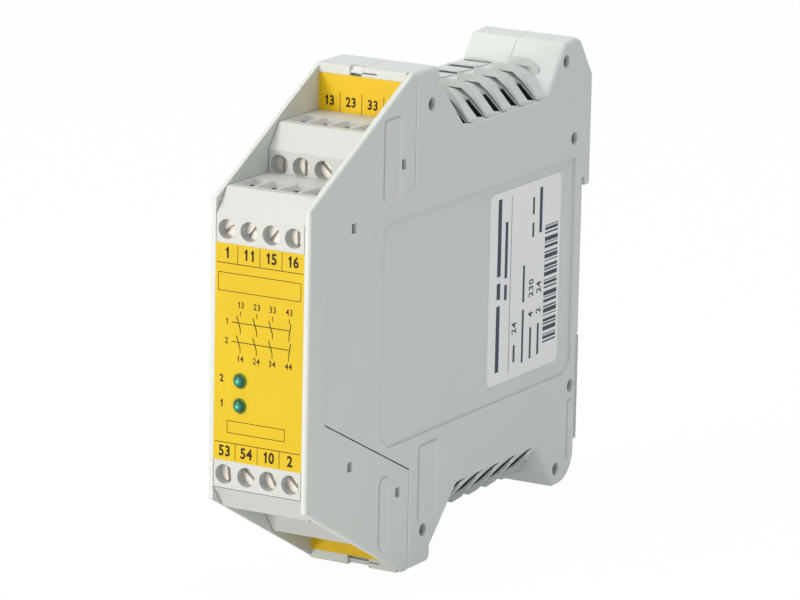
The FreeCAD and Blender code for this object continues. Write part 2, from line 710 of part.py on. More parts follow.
def terminalBlock():
    """Block for four terminals: each has a bore, clamp pocket, wire funnel and blade channel."""
    side = [
        ("0", "blockFoot"),
        ("0", "screwHeight + 2.85"),
        ("3.7", "blockTop"),
        ("stepDepth", "blockTop"),
        ("stepDepth", blockBottom),
        ("labelThickness + shellWall", blockBottom),
        ("labelThickness + shellWall", "blockFoot"),
    ]
    body = extrusion("BlockBody", outline("BlockOutline", "side", side, "cheekWall - flank"),
                     "moduleWidth - 2 * cheekWall")
    lug = lugBar("BlockLugs", "flank - lugSink", "lugDepth - seatDepth", "screwHeight - 0.5", "0")
    pocketHalf, pocketRise = "(cageWidth / 2 + closeGap)", "(cageHeight / 2 + looseGap)"
    channelHalf = "(cageWidth * 0.3 + closeGap)"
    tools = []
    for pole in poles:
        across = poleAt(pole)
        tools += [
            cylinder(f"Bore{pole}", "screwHole / 2", "screwSink + headLength",
                     across, "-seatDepth", "screwHeight"),
            cylinder(f"Shank{pole}", "threadSize / 2 + looseGap", "pocketFront",
                     across, "-seatDepth", "screwHeight"),
            box(f"Pocket{pole}",
                (f"{across} - {pocketHalf}", "pocketFront - seatDepth", f"screwHeight - {pocketRise}"),
                (f"{across} + {pocketHalf}", "stepDepth - seatDepth", f"screwHeight + {pocketRise}")),
            box(f"Channel{pole}", (f"{across} - {channelHalf}", "barFront - 0.02 - seatDepth", "bladeHeight"),
                (f"{across} + {channelHalf}", "stepDepth - seatDepth", "screwHeight")),
            cylinder(f"WireHole{pole}", "wireHole / 2", "8",
                     across, "wireDepth - seatDepth", "screwHeight", "z"),
            wireFunnel(f"Funnel{pole}", across),
        ]
    return cutAway("BlockPlain", joined("BlockWithLugs", [body, lug]), tools)


def moved(name, source, depth, height):
    """Another copy of a piece, set back and raised."""
    copy = doc.addObject("Part::Compound", name)
    copy.Links = [source]
    return place(copy, "0", depth, height)


places = {
    "upper_front": (0, 1),
    "upper_rear": (1, 1),
    "lower_front": (0, -1),
    "lower_rear": (1, -1),
}


def atPlaces(source, label, name):
    """The piece at its four places: two steps above, the same reflected below."""
    for spot, (step, sign) in places.items():
        copy = moved(name + camel(spot), source, f"{step} * stepDepth", f"{step} * stepHeight")
        if sign < 0:
            copy = mirrored(copy.Name + "Below", copy, "-lowerShift / 2")
        keep(copy, f"{spot}_{label}")


atPlaces(terminalBlock(), "terminal_block", "Block")


# Terminal screws and their clamps

slotAngles = {
    "upper_front": (55, 40, 40, 0),
    "upper_rear": (0, 0, -50, 20),
    "lower_front": (-5, -50, -30, -45),
    "lower_rear": (30, -20, 10, 60),
}


def originPlane(body, role):
    return next(plane for plane in body.Origin.OriginFeatures if plane.Role == role)


def bodySketch(body, name, role, points):
    """Closed sketch of straight lines on one of the body's own origin planes."""
    sketch = body.newObject("Sketcher::SketchObject", name)
    sketch.AttachmentSupport = [(originPlane(body, role), "")]
    sketch.MapMode = "FlatFace"
    drawLines(sketch, points)
    return sketch


def terminalScrew(name):
    """Slotted cheese-head screw along +Y, head at the origin."""
    body = doc.addObject("PartDesign::Body", name)
    half = bodySketch(body, name + "Half", "XY_Plane", [
        ("0", "0"),
        ("screwHole / 2 - closeGap", "0"),
        ("screwHole / 2 - closeGap", "headLength"),
        ("threadSize / 2 - closeGap", "headLength"),
        ("threadSize / 2 - closeGap", "headLength + screwReach"),
        ("0", "headLength + screwReach"),
    ])
    turned = body.newObject("PartDesign::Revolution", name + "Turned")
    turned.Profile = half
    turned.ReferenceAxis = (half, ["V_Axis"])
    turned.Angle = 360
    slot = bodySketch(body, name + "SlotOutline", "XZ_Plane", [
        ("-slotWidth / 2", "-screwHole / 2"),
        ("slotWidth / 2", "-screwHole / 2"),
        ("slotWidth / 2", "screwHole / 2"),
        ("-slotWidth / 2", "screwHole / 2"),
    ])
    pocket = body.newObject("PartDesign::Pocket", name + "Slot")
    pocket.Profile = slot
    pocket.setExpression("Length", linked("headLength * 0.6"))
    return body


def wireClamp():
    """Rising cage: a square frame open to the wire, threaded on the screw through its front wall."""
    front = "pocketFront + clampTravel + looseGap - seatDepth"
    block = box("CageBlock", ("-cageWidth / 2", front, "screwHeight - cageHeight / 2"),
                ("cageWidth / 2", f"{front} + cageLength", "screwHeight + cageHeight / 2"))
    passage = box("CagePassage",
                  ("cageWall - cageWidth / 2", f"{front} + cageFront", "screwHeight - cageHeight"),
                  ("cageWidth / 2 - cageWall", f"{front} + cageLength - cageFoot",
                   "screwHeight + cageHeight"))
    thread = cylinder("CageThread", "threadSize / 2", "threadSize", "0", f"{front} - overcut", "screwHeight")
    return cutAway("Cage", block, [passage, thread])


def contactBars(name, step):
    """Four bars: a leaf in each clamp and a blade that runs back to the terminal board."""
    bars = []
    for pole in poles:
        across = poleAt(pole)
        leaf = box(f"{name}Leaf{pole}",
                   (f"{across} - cageWidth * 0.3", "barFront - seatDepth", "bladeHeight"),
                   (f"{across} + cageWidth * 0.3", "barFront + barThickness - seatDepth",
                    "screwHeight + cageHeight / 2 + looseGap"))
        rear = f"boardDepth - {step} * stepDepth - seatDepth"
        blade = box(f"{name}Blade{pole}",
                    (f"{across} - bladeWidth / 2", "barFront - seatDepth", "bladeHeight"),
                    (f"{across} + bladeWidth / 2", rear, "bladeHeight + bladeThickness"))
        bars.append(joined(f"{name}{pole}", [leaf, blade]))
    group = doc.addObject("Part::Compound", name)
    group.Links = bars
    return group


cage = wireClamp()
for spot, (step, sign) in places.items():
    shift = "0" if sign > 0 else "lowerShift"
    screwAt = f"{sign} * (screwHeight + {step} * stepHeight + {shift})"
    lift = f"{step} * stepHeight" if sign > 0 else f"-2 * screwHeight - {step} * stepHeight - lowerShift"
    for pole in poles:
        screw = terminalScrew(f"Screw{camel(spot)}{pole + 1}")
        screw.Placement.Rotation = FreeCAD.Rotation(FreeCAD.Vector(0, 1, 0), slotAngles[spot][pole])
        place(screw, poleAt(pole), f"{step} * stepDepth + screwSink - seatDepth", screwAt)
        keep(screw, f"{spot}_terminal_screw_{pole + 1}")
        clamp = doc.addObject("Part::Compound", f"Clamp{camel(spot)}{pole + 1}")
        clamp.Links = [cage]
        place(clamp, poleAt(pole), f"{step} * stepDepth", lift)
        keep(clamp, f"{spot}_wire_clamp_{pole + 1}")

bars = [contactBars("FrontBars", 0), contactBars("RearBars", 1)]
for spot, (step, sign) in places.items():
    copy = moved(f"Bars{camel(spot)}", bars[step], f"{step} * stepDepth", f"{step} * stepHeight")
    if sign < 0:
        copy = mirrored(copy.Name + "Below", copy, "-lowerShift / 2")
    keep(copy, f"{spot}_contact_bars")


# Label, strips, indicators and sticker

labelPlate = box("LabelPlate", ("-inside", "-seatDepth", "-blockFoot - lowerShift"),
                 ("inside", "labelThickness - seatDepth", "blockFoot"))
lensHoles = [
    cylinder(f"LabelHole{spot}", "lensSize / 2 + closeGap", "2", "lensAcross", "-seatDepth - overcut", height)
    for spot, height in (("Upper", "upperLens"), ("Lower", "lowerLens"))
]
keep(cutAway("FrontLabel", labelPlate, lensHoles), "front_label")

for name, low, high in (
    ("upper", "blockTop + stepHeight", "stripTop"),
    ("lower", "-stripTop", "-blockTop - stepHeight - lowerShift"),
):
    strip = box(f"{name.title()}Strip", ("-inside", "wallDepth - labelThickness - seatDepth", low),
                ("inside", "wallDepth - seatDepth", high))
    keep(strip, f"{name}_label_strip")

for name, height in (("upper", "upperLens"), ("lower", "lowerLens")):
    foot = "labelThickness - seatDepth"
    stem = cylinder(f"{name.title()}LensStem", "lensSize / 2", "noseDepth - boardThickness - labelThickness",
                    "lensAcross", foot, height)
    dome = doc.addObject("Part::Sphere", f"{name.title()}LensDome")
    dome.setExpression("Radius", linked("lensSize / 2"))
    place(dome, "lensAcross", foot, height)
    keep(joined(f"{name.title()}Lens", [stem, dome]), f"{name}_indicator_lens")

sticker = box("StickerPlate", ("flank - panelSink", "-stickerFront", "9.65 - kneeLower"),
              ("flank - panelSink + stickerThickness", "-stickerRear", "kneeUpper - 7.95"))
doc.recompute()
short = number("stickerThickness")
corners = [
    index for index, edge in enumerate(sticker.Shape.Edges, start=1)
    if abs(edge.Length - short) < touching / 100
]
keep(rounded("Sticker", sticker, corners, "stickerRound"), "rating_sticker")


# Circuit boards and what they carry

keep(box("IndicatorBoard",
         ("-indicatorBoardHalf", "noseDepth - boardThickness - seatDepth", "-noseLower + 1"),
         ("indicatorBoardHalf", "noseDepth - seatDepth", "noseUpper - 1")), "indicator_board")
keep(box("TerminalBoard", ("-innerFlank", "boardDepth - seatDepth", "-valleyHeight"),
         ("innerFlank", "boardDepth + boardThickness - seatDepth", "valleyHeight")), "terminal_board")
keep(box("MainBoard", ("boardAcross - boardThickness", "boardDepth + boardThickness - seatDepth",
                       "shellWall + 0.5 - valleyHeight"),
         ("boardAcross", "-channelDepth - shellWall", "valleyHeight - shellWall - 0.5")), "main_board")
for name in ("first", "second"):
    low = f"{name}Relay"
    keep(box(f"{name.title()}Relay", ("boardAcross", "boardDepth + relayRun - seatDepth", low),
             ("boardAcross + relayAcross", "-relayRear", f"{low} + relayHeight")), f"{name}_sealed_relay")
capacitor = cylinder("Capacitor", "capacitorSize / 2", "capacitorLength", "boardAcross", "-capacitorRun",
                     "capacitorRise", "x")
keep(capacitor, "capacitor")
fuse = box("Fuse", ("boardAcross", "-capacitorRun - fuseSize / 2", "fuseLow"),
           ("boardAcross + fuseSize", "-capacitorRun + fuseSize / 2", "fuseLow + fuseThickness"))
keep(fuse, "resettable_fuse")


# Rail latch and its spring

latchFront = "seatDepth - channelDepth + slideGap"
latchBack = "seatDepth + hookDepth - 0.4"
latchSpringTop = "-latchFloor + 8.6"
latchOutline = [
    (latchFront, "-railHeight / 2 + 0.65"),
    ("seatDepth", "-railHeight / 2 + 0.65"),
    ("seatDepth", "-railHeight / 2 - 0.15"),
    ("seatDepth + railGroove + 0.05", "-railHeight / 2 - 0.15"),
    ("seatDepth + railGroove + 0.05", "-railHeight / 2 + 1.4"),
    ("seatDepth + railGroove + 0.6", "-railHeight / 2 + 1.4"),
    (latchBack, "-railHeight / 2 + 0.2"),
    (latchBack, "-latchFloor + 3.1"),
    ("seatDepth - 0.7", "-latchFloor + 3.1"),
    ("seatDepth - 0.7", latchSpringTop),
    (latchFront, latchSpringTop),
]
latchSketch = outline("LatchOutline", "side", latchOutline, "-latchWidth / 2")
latchBlank = extrusion("LatchBlank", latchSketch, "latchWidth")
pinDepth, pinHeight = latchPin["Latch"]
slotHalf = "(pinSize / 2 + 0.25)"
slotLeft = "-latchWidth / 2 - overcut"
pinSlot = [
    cylinder(f"PinSlot{name}", slotHalf, "latchWidth + 2 * overcut", slotLeft, f"{pinDepth} - seatDepth",
             f"{pinHeight} + {lift}", "x")
    for name, lift in (("Low", "0"), ("High", "latchTravel"))
]
pinSlot.append(box("PinSlotMiddle", (slotLeft, f"{pinDepth} - {slotHalf} - seatDepth", pinHeight),
                   ("latchWidth / 2 + overcut", f"{pinDepth} + {slotHalf} - seatDepth",
                    f"{pinHeight} + latchTravel")))
keep(cutAway("Latch", latchBlank, pinSlot), "rail_latch")


def coilSpring(turns, sides, steps):
    """Compression spring about +Z from the origin up, as straight mitred runs of faceted wire."""
    wire = number("springWire") / 2
    radius = number("springRadius")
    rise = number(f"{latchSpringTop} + latchFloor") - 2 * wire
    circle = 2 * math.pi
    points = []
    for step in range(turns * steps + 1):
        angle = circle * step / steps
        height = wire + rise * angle / (circle * turns)
        points.append(FreeCAD.Vector(radius * math.cos(angle), radius * math.sin(angle), height))
    section = []
    for side in range(sides + 1):
        angle = circle * side / sides
        section.append(FreeCAD.Vector(radius + wire * math.cos(angle), 0, wire + wire * math.sin(angle)))
    pipe = Part.BRepOffsetAPI.MakePipeShell(Part.makePolygon(points))
    pipe.setFrenetMode(True)
    pipe.setTransitionMode(1)
    pipe.add(Part.makePolygon(section))
    pipe.build()
    pipe.makeSolid()
    return pipe.shape()


spring = doc.addObject("Part::Feature", "Spring")
spring.Shape = coilSpring(5, 6, 12)
place(spring, "0", "-channelDepth + 2.5", "-latchFloor")
keep(spring, "latch_spring")


# Checks and export

doc.recompute()
failed = [thing.Name for thing in doc.Objects if {"Invalid", "Error"} & set(thing.State)]
if failed:
    raise RuntimeError(f"not built: {failed}")
for part in parts:
    if part.Shape.isNull() or not part.Shape.isValid() or not part.Shape.Solids:
        raise RuntimeError(f"bad shape: {part.Label}")
for part in parts:
    part.Shape.exportStep(f"parts/{part.Label}.step")
print(len(parts), "parts,", round(sum(part.Shape.Volume for part in parts)), "cubic millimetres")
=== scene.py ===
import json
from math import cos, pi, radians, sin

import bmesh
import bpy
from mathutils import Matrix, Vector


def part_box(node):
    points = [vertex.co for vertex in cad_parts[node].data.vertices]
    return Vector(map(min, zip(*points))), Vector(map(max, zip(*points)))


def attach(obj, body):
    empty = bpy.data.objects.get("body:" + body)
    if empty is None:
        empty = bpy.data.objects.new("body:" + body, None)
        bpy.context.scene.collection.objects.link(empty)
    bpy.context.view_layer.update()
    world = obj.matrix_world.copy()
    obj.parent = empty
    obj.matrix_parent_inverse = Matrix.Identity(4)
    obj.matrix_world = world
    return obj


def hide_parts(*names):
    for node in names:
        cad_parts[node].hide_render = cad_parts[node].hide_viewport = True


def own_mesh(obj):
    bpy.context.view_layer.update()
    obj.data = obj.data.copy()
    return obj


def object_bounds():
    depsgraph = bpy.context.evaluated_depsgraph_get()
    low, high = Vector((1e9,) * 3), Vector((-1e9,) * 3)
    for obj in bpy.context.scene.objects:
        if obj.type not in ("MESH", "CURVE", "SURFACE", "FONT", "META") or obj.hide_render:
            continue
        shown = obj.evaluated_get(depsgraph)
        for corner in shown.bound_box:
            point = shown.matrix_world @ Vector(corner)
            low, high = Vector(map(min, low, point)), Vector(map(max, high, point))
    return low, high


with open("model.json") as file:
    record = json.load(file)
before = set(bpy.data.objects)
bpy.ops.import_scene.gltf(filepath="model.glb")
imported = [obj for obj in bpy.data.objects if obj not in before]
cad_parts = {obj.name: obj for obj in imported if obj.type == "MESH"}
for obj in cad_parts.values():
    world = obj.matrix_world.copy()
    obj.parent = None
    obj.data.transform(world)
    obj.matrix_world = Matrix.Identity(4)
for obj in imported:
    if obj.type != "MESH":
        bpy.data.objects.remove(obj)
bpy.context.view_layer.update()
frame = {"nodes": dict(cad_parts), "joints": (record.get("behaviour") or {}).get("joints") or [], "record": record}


mm = 0.001
scene = bpy.context.scene


def boxOf(node):
    # low and high corner of a piece, in millimetres
    return [Vector(corner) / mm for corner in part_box(node)]


def middleOf(node):
    low, high = boxOf(node)
    return (low + high) / 2


# Shader maths

class Socket:  # a node tree's output that can be used in sums
    def __init__(self, tree, output):
        self.tree = tree
        self.output = output

    def of(self, operation, second=None):
        return self.maths(operation, self, second)

    def maths(self, operation, first, second=None):
        node = self.tree.nodes.new("ShaderNodeMath")
        node.operation = operation
        for index, value in enumerate((first, second)):
            if value is not None:
                linked(self.tree, node.inputs[index], value)
        return Socket(self.tree, node.outputs[0])

    def __add__(self, other):
        return self.maths("ADD", self, other)

    def __radd__(self, other):
        return self.maths("ADD", other, self)

    def __sub__(self, other):
        return self.maths("SUBTRACT", self, other)

    def __rsub__(self, other):
        return self.maths("SUBTRACT", other, self)

    def __mul__(self, other):
        return self.maths("MULTIPLY", self, other)

    def __rmul__(self, other):
        return self.maths("MULTIPLY", other, self)

    def __truediv__(self, other):
        return self.maths("DIVIDE", self, other)

    def __rtruediv__(self, other):
        return self.maths("DIVIDE", other, self)

    def __lt__(self, other):
        return self.maths("LESS_THAN", self, other)

    def __gt__(self, other):
        return self.maths("GREATER_THAN", self, other)


def linked(tree, socket, value):
    if isinstance(value, Socket):
        tree.links.new(value.output, socket)
    else:
        socket.default_value = value


class Nodes:  # a node tree and the means to add nodes to it
    def __init__(self, tree):
        self.tree = tree
        tree.nodes.clear()

    def node(self, kind, settings=None, inputs=None, output=0):
        node = self.tree.nodes.new("ShaderNode" + kind)
        for name, value in (settings or {}).items():
            if name == "stops":
                self.setStops(node.color_ramp, value)
            else:
                setattr(node, name, value)
        for name, value in (inputs or {}).items():
            linked(self.tree, node.inputs[name], value)
        return Socket(self.tree, node.outputs[output]) if node.outputs else None

    def setStops(self, ramp, stops):
        while len(ramp.elements) < len(stops):
            ramp.elements.new(0.5)
        for element, (position, colour) in zip(ramp.elements, stops):
            element.position = position
            element.color = (*colour, 1)

    def seen(self):
        # 1 for what the camera sees, straight, mirrored or through glass
        camera, glossy, through = (self.node("LightPath", output=f"Is {kind} Ray")
                                   for kind in ("Camera", "Glossy", "Transmission"))
        return (camera + glossy + through).of("MINIMUM", 1.0)


class Finish(Nodes):  # one material
    def __init__(self, name):
        self.material = bpy.data.materials.new(name)
        self.material.use_nodes = True
        super().__init__(self.material.node_tree)
        self.shader = self.tree.nodes.new("ShaderNodeBsdfPrincipled")
        self.target = self.tree.nodes.new("ShaderNodeOutputMaterial")
        self.tree.links.new(self.shader.outputs[0], self.target.inputs["Surface"])
        self.place = self.node("TexCoord", output="Object")
        self.measured = None

    def set(self, name, value):
        linked(self.tree, self.shader.inputs[name], value)

    def axes(self):
        # object coordinates in millimetres
        if self.measured is None:
            split = self.node("SeparateXYZ", None, {"Vector": self.place}).output.node
            self.measured = [Socket(self.tree, output) / mm for output in split.outputs]
        return self.measured

    def noise(self, size, detail=3, place=None):
        # size in millimetres
        scale = 1 / (size * mm)
        inputs = {"Vector": place or self.place, "Scale": scale, "Detail": detail, "Roughness": 0.5}
        return self.node("TexNoise", None, inputs)

    def span(self, value, low, high, newLow, newHigh):
        inputs = {0: value, 1: low, 2: high, 3: newLow, 4: newHigh}
        return self.node("MapRange", {"clamp": True}, inputs)

    def varied(self, value, low, high):
        # the middle of a noise stretched to a range
        return self.span(value, 0.3, 0.7, low, high)

    def blend(self, factor, first, second):
        colours = [(*colour, 1) if isinstance(colour, tuple) else colour for colour in (first, second)]
        inputs = {0: factor, 6: colours[0], 7: colours[1]}
        return self.node("Mix", {"data_type": "RGBA"}, inputs, output=2)

    def bump(self, height, depth, strength=1, soft=0):
        # depth and the softness of edges in millimetres
        inputs = {"Strength": strength, "Distance": depth * mm, "Height": height}
        if soft:
            inputs["Normal"] = self.node("Bevel", {"samples": 6}, {"Radius": soft * mm})
        self.set("Normal", self.node("Bump", None, inputs))


def tint(*values):
    # screen values 0 to 255 as linear light
    return tuple(((value / 255 + 0.055) / 1.055) ** 2.4 if value > 10 else value / 3294 for value in values)


def times(colour, amount, more=0):
    return tuple(value * amount + more for value in colour)


print("finishes")

# painted shadow and painted highlight colours, laid into surface colours by the painted shade and highlight masks
# and the plate edges below
shadow, shine = tint(24, 25, 25), tint(250, 252, 250)

# distances in millimetres: plates as depth from the front, height, half width, half height and corner; edgeShift,
# edgeShine and edgeShadow set where and how strongly highlight and shadow are painted along the plate edges
moulded = {"seat": -boxOf("front_label")[0].y, "flank": 10.7, "plateSink": -0.4, "plateEdge": 0.26,
           "edgeShift": 0.2, "edgeShine": 1.5, "edgeShadow": -0.7,
           "framePlates": ((31.0, 35.2, 3.2, 8.0, 1.0), (30.2, -36.8, 1.9, 7.6, 1.9)),
           "shellPlates": ((47.7, -33.7, 3.7, 7.8, 0.8), (108.2, -36.4, 1.0, 6.6, 0.9))}
joint = {"across": -0.2, "half": 0.06}
vents = {"slope": -0.927, "foot": 46.88, "roof": 40.5, "left": -10, "right": 10.7, "front": -64, "back": -8}
pins = {"end": 8.9, "deep": 9.2, "fade": 1.5, "height": 46, "front": -61.5, "rear": (-9.7, -1)}
seam = {"depth": -70.82, "half": 0.08, "height": 28.2, "slope": 0.473, "rise": 62.0, "slantHalf": 0.1,
        "slantEnd": -70.9, "behind": -70.5, "behindHalf": 0.14}
gaps = {"inner": 9.88, "outer": 10.1, "lug": 10.3, "below": -27.42, "half": 0.08, "front": -109}
bores = {"frontHeight": 30.9, "rearHeight": 40.3, "frontRows": -91.9, "rearRows": -91.7,
         "frontDepth": -104, "rearDepth": -84}


# painted shade along the joint between the two halves of the housing
def shadeInHalfJoint(x, y, z):
    return (x - joint["across"]).of("ABSOLUTE") < joint["half"]


def shadeUnderVents(x, y, z):
    # painted shade on everything below the vent roof, which slopes down to the right flank, where the inside of
    # the housing is in shade
    roof = (x * vents["slope"] + vents["foot"]).of("MINIMUM", vents["roof"])
    across = (x < vents["right"]) * (x > vents["left"])
    return (z.of("ABSOLUTE") < roof) * across * (y > vents["front"]) * (y < vents["back"])


# painted shade deep in the pin holes, fading out towards the flank
def shadeInPinHoles(x, y, z):
    deep = (x > pins["end"]) * (1 - (x - pins["deep"]) / pins["fade"]).of("MAXIMUM", 0.0)
    inside = (deep * (z.of("ABSOLUTE") < pins["height"])).of("MINIMUM", 1.0)
    rear = (y > pins["rear"][0]) * (y < pins["rear"][1])
    return inside * ((y < pins["front"]) + rear).of("MINIMUM", 1.0)


def shadeAlongFrameSeam(x, y, z):
    # painted shade as a hair line along the upright and the slanting joint with the front frame
    upright = ((y - seam["depth"]).of("ABSOLUTE") < seam["half"]) * (z.of("ABSOLUTE") > seam["height"])
    slant = (y * seam["slope"] + seam["rise"] - z).of("ABSOLUTE") < seam["slantHalf"]
    return (upright + slant * (y < seam["slantEnd"])).of("MINIMUM", 1.0)


# painted highlight on a band just behind the upright joint with the front frame
def highlightBehindSeam(x, y, z):
    return ((y - seam["behind"]).of("ABSOLUTE") < seam["behindHalf"]) * (z.of("ABSOLUTE") > seam["height"])


# painted shade in the gaps beside and below the terminal blocks, and on the lug ends
def shadeInBlockGaps(x, y, z):
    across = x.of("ABSOLUTE")
    beside = (across > gaps["inner"]) * (across < gaps["outer"]) + (across > gaps["lug"])
    below = ((z - gaps["below"]).of("ABSOLUTE") < gaps["half"]) * (y < gaps["front"])
    return (beside + below).of("MINIMUM", 1.0)


def shadeInsideBlocks(x, y, z):
    # painted shade in the wire holes below the funnels and in the bores behind the screw heads
    height = z.of("ABSOLUTE")
    front, rear = y < bores["frontRows"], y > bores["rearRows"]
    rows = (height < bores["frontHeight"]) * front + (height < bores["rearHeight"]) * rear
    depth = (y > bores["frontDepth"]) * (y < bores["frontRows"]) + (y > bores["rearDepth"])
    return (rows * depth).of("MINIMUM", 1.0)


def sunk(finish, depth, middle, halfDepth, halfHeight, corner, shift=0):
    # below zero inside a rounded oblong on either flank, and zero outside it
    x, y, z = finish.axes()
    fromCentre = (y - (depth + shift - moulded["seat"])).of("ABSOLUTE")
    sideways = (fromCentre - (halfDepth - corner)).of("MAXIMUM", 0.0)
    upwards = ((z - (middle - shift)).of("ABSOLUTE") - (halfHeight - corner)).of("MAXIMUM", 0.0)
    away = (sideways * sideways + upwards * upwards).of("SQRT")
    bottom = corner - moulded["plateEdge"], corner + moulded["plateEdge"], moulded["plateSink"], 0
    return finish.span(away, *bottom) * (x.of("ABSOLUTE") > moulded["flank"])


grain = {"cloud": 12, "shade": 0.95, "speck": 0.6, "duller": 0.07, "brighter": 0.05, "index": 1.48,
         "fine": 0.25, "fineDepth": 0.004}


def plastic(name, colour, roughness=0.42, edge=0.3, plates=(), paintedLight=()):
    # fine moulded grain, slow clouds in the colour, soft edges, shallow bare plates on the flanks, painted shade
    # and painted highlight where the masks say, and painted highlight and shadow along the plate edges
    finish = Finish(name)
    tone = finish.blend(finish.noise(grain["cloud"]), times(colour, grain["shade"]), colour)
    # painted shade and painted highlight laid over the colour, each where its mask says
    for place, amount, paintedColour in paintedLight:
        tone = finish.blend(place(*finish.axes()) * amount, tone, paintedColour)
    # painted highlight along the rear and lower edge of each plate, painted shadow along its front and upper edge
    shift = moulded["edgeShift"]
    for plate in plates:
        slope = sunk(finish, *plate, shift=-shift) - sunk(finish, *plate, shift=shift)
        tone = finish.blend((slope * moulded["edgeShine"]).of("MAXIMUM", 0.0), tone, shine)
        tone = finish.blend((slope * moulded["edgeShadow"]).of("MAXIMUM", 0.0), tone, shadow)
    finish.set("Base Color", tone)
    brighter, duller = roughness - grain["brighter"], roughness + grain["duller"]
    finish.set("Roughness", finish.varied(finish.noise(grain["speck"], 2), brighter, duller))
    finish.set("IOR", grain["index"])
    height = finish.noise(grain["fine"], 2) * grain["fineDepth"]
    for plate in plates:
        height = height + sunk(finish, *plate)
    finish.bump(height, 1, soft=edge)
    return finish.material


sheeting = {"cloud": 20, "speck": 0.8, "roughness": (0.34, 0.46), "gloss": 0.3, "coat": 0.04,
            "coatRoughness": 0.3, "fine": 0.5, "fineDepth": 0.004}


def film(name, colour, edge):
    finish = Finish(name)
    cloud = finish.varied(finish.noise(sheeting["cloud"], 2), 0, 1)
    finish.set("Base Color", finish.blend(cloud, edge, colour))
    finish.set("Roughness", finish.varied(finish.noise(sheeting["speck"], 2), *sheeting["roughness"]))
    finish.set("Specular IOR Level", sheeting["gloss"])
    finish.set("Coat Weight", sheeting["coat"])
    finish.set("Coat Roughness", sheeting["coatRoughness"])
    finish.bump(finish.noise(sheeting["fine"], 2), sheeting["fineDepth"])
    return finish.material


inked = {"speck": 0.4, "paler": 1.4, "more": 0.002, "roughness": 0.6, "gloss": 0.25}


def ink(name, colour):
    finish = Finish(name)
    paler = times(colour, inked["paler"], inked["more"])
    finish.set("Base Color", finish.blend(finish.noise(inked["speck"], 2), colour, paler))
    finish.set("Roughness", inked["roughness"])
    finish.set("Specular IOR Level", inked["gloss"])
    return finish.material


turned = {"ring": 0.16, "scratch": 0.9, "scratchShare": 2, "metal": 0.6, "shade": 0.78, "duller": 0.12,
          "brighter": 0.06, "depth": 0.006, "strength": 0.6}


def plated(name, colour, roughness):
    # turned rings about each screw, from the even spacing of the screws
    first, second = middleOf("upper_front_terminal_screw_1"), middleOf("upper_front_terminal_screw_2")
    above, below = middleOf("upper_rear_terminal_screw_1"), middleOf("lower_front_terminal_screw_1")
    pitch, step = second.x - first.x, above.z - first.z
    finish = Finish(name)
    x, y, z = finish.axes()
    across = (x - (first.x - pitch / 2)).of("FLOORED_MODULO", pitch) - pitch / 2
    height = (z - (first.z + below.z) / 2).of("ABSOLUTE") - (first.z - below.z) / 2
    down = (height + step / 2).of("FLOORED_MODULO", step) - step / 2
    radius = (across * across + down * down).of("SQRT")
    rings = (radius * (2 * pi / turned["ring"])).of("SINE")
    scratches = finish.noise(turned["scratch"], 4)
    brighter, duller = roughness - turned["brighter"], roughness + turned["duller"]
    finish.set("Metallic", turned["metal"])
    finish.set("Base Color", finish.blend(scratches, colour, times(colour, turned["shade"])))
    finish.set("Roughness", finish.varied(scratches, brighter, duller))
    finish.bump(rings + scratches * turned["scratchShare"], turned["depth"], turned["strength"])
    return finish.material


rolled = {"stretch": (1, 1, 0.12), "scratch": 0.5, "shade": 0.75, "duller": 0.1, "brighter": 0.08,
          "depth": 0.01, "strength": 0.5}


def steel(name, colour, roughness):
    finish = Finish(name)
    drawn = finish.node("Mapping", None, {"Vector": finish.place, "Scale": rolled["stretch"]})
    scratches = finish.noise(rolled["scratch"], 4, drawn)
    brighter, duller = roughness - rolled["brighter"], roughness + rolled["duller"]
    finish.set("Metallic", 1.0)
    finish.set("Base Color", finish.blend(scratches, colour, times(colour, rolled["shade"])))
    finish.set("Roughness", finish.varied(scratches, brighter, duller))
    finish.bump(scratches, rolled["depth"], rolled["strength"])
    return finish.material


# tints at shares of the lens's radius: a painted highlight at the heart, the lens's own green, darker towards the
# rim, and a painted reflection of the yellow label at the edge
clear = {"radius": 1.55, "speck": 0.7, "roughness": (0.06, 0.14), "gloss": 0.35, "coat": 0.15, "glow": 0.12,
         "glowDepth": (0.0004, 0.0012, 0.001),
         "tintsAndPaintedLight": ((0, tint(190, 244, 236)), (0.13, tint(40, 168, 142)), (0.45, tint(6, 106, 84)),
                   (0.78, tint(2, 66, 44)), (1, tint(120, 176, 70)))}
ledCentres = [middleOf("upper_indicator_lens"), middleOf("lower_indicator_lens")]


def lens(name):
    # a painted highlight at the heart, darker towards the rim, and a painted reflection at the edge, on each of
    # the two lenses
    finish = Finish(name)
    x, y, z = finish.axes()
    upper, lower = ledCentres
    down = (z - (upper.z + lower.z) / 2).of("ABSOLUTE") - (upper.z - lower.z) / 2
    across = x - upper.x
    radius = (across * across + down * down).of("SQRT")
    share = radius / clear["radius"]
    finish.set("Base Color", finish.node("ValToRGB", {"stops": clear["tintsAndPaintedLight"]}, {0: share}))
    finish.set("Roughness", finish.varied(finish.noise(clear["speck"], 2), *clear["roughness"]))
    finish.set("Specular IOR Level", clear["gloss"])
    finish.set("Coat Weight", clear["coat"])
    finish.set("Subsurface Weight", clear["glow"])
    finish.set("Subsurface Radius", clear["glowDepth"])
    return finish.material


laminate = {"cells": 260, "track": (0.03, 0.06), "roughness": 0.3, "depth": 0.02, "strength": 0.5,
            "resist": tint(20, 84, 48), "copper": tint(46, 128, 74)}


def circuitBoard(name):
    finish = Finish(name)
    pattern = {"Vector": finish.place, "Scale": laminate["cells"]}
    cells = finish.node("TexVoronoi", {"feature": "DISTANCE_TO_EDGE"}, pattern)
    tracks = finish.span(cells, *laminate["track"], 1, 0)
    finish.set("Base Color", finish.blend(tracks, laminate["resist"], laminate["copper"]))
    finish.set("Roughness", laminate["roughness"])
    finish.bump(tracks, laminate["depth"], laminate["strength"])
    return finish.material
